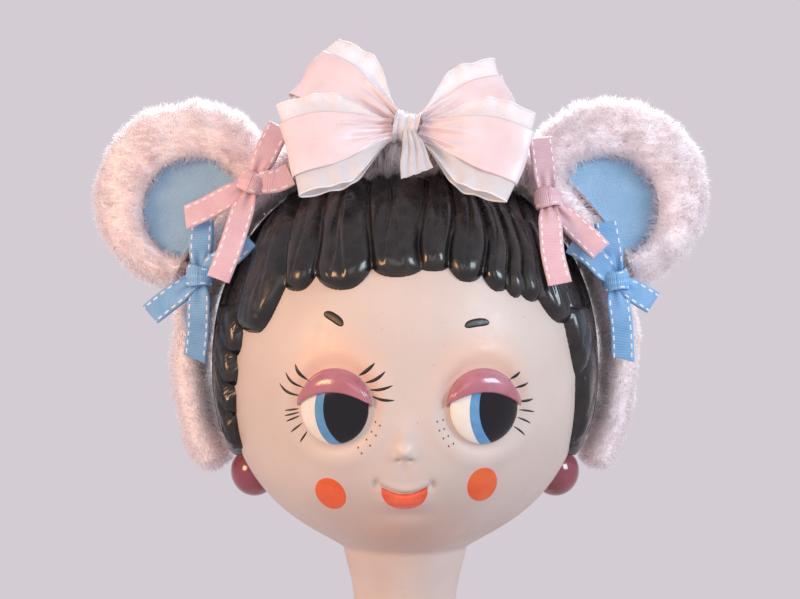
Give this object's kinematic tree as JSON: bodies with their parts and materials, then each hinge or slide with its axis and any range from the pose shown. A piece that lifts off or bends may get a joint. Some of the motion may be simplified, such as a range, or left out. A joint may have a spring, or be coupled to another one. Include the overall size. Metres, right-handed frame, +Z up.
{
  "type": "vinyl display head toy",
  "caption": "Retro doll display head on a weighted turning base, wearing a lift-off plush ear headband with ribbon bows.",
  "frame": {"origin": "centre of the underside of the base, on the surface it stands on", "axes": "+Z up the neck to the crown, the face looks along -Y, +X is to the viewer's right"},
  "size_m": [0.27, 0.1696, 0.3093],
  "materials": {
    "plinth_plastic": "soft gloss moulded plastic",
    "weight_steel": "bare ring",
    "cover_plastic": "matte",
    "screw_steel": "zinc plated",
    "base_felt": "pressed felt",
    "washer_plastic": "natural nylon",
    "bolt_steel": "zinc plated",
    "plug_wood": "turned, unfinished",
    "skin_vinyl": "matte painted vinyl",
    "hair_vinyl": "glossy black paint",
    "eye_vinyl": "painted, satin gloss",
    "lid_gloss": "glossy mauve pink",
    "earring_gloss": "glossy rose",
    "core_plastic": "plain",
    "wadding": "polyester wadding",
    "pink_plush": "short plush pile",
    "blue_felt": "brushed felt",
    "pink_satin": "satin ribbon",
    "white_organza": "sheer ribbon",
    "pink_grosgrain": "ribbed ribbon, white stitched edges",
    "blue_grosgrain": "ribbed ribbon, white stitched edges"
  },
  "bodies": {
    "base": {"base_plinth": "plinth_plastic", "base_weight": "weight_steel", "base_cover": "cover_plastic", "cover_screws": "screw_steel", "felt_pad": "base_felt", "thrust_washer": "washer_plastic"},
    "head": {"pivot_bolt": "bolt_steel", "spring_washer": "bolt_steel", "pivot_nut": "bolt_steel", "neck_plug": "plug_wood", "head_shell": "skin_vinyl", "hair_cap": "hair_vinyl", "left_eye": "eye_vinyl", "right_eye": "eye_vinyl", "left_eyelid": "lid_gloss", "right_eyelid": "lid_gloss", "left_earring": "earring_gloss", "right_earring": "earring_gloss"},
    "headband": {"band_core": "core_plastic", "band_padding": "wadding", "band_sleeve": "pink_plush", "left_ear_plush": "pink_plush", "right_ear_plush": "pink_plush", "left_ear_filling": "wadding", "right_ear_filling": "wadding", "left_ear_felt": "blue_felt", "right_ear_felt": "blue_felt", "satin_bow": "pink_satin", "organza_bow": "white_organza", "bow_wrap": "white_organza", "left_pink_bow": "pink_grosgrain", "right_pink_bow": "pink_grosgrain", "left_blue_bow": "blue_grosgrain", "right_blue_bow": "blue_grosgrain"}
  },
  "joints": [
    {"name": "head_turn", "type": "hinge", "parent": "base", "child": "head", "pos_m": [0, 0, 0.026], "axis": [0, 0, 1], "continuous": true},
    {"name": "headband_lift", "type": "slide", "parent": "head", "child": "headband", "axis": [0, 0.66, 0.7513], "range_m": [0, 0.13]}
  ]
}
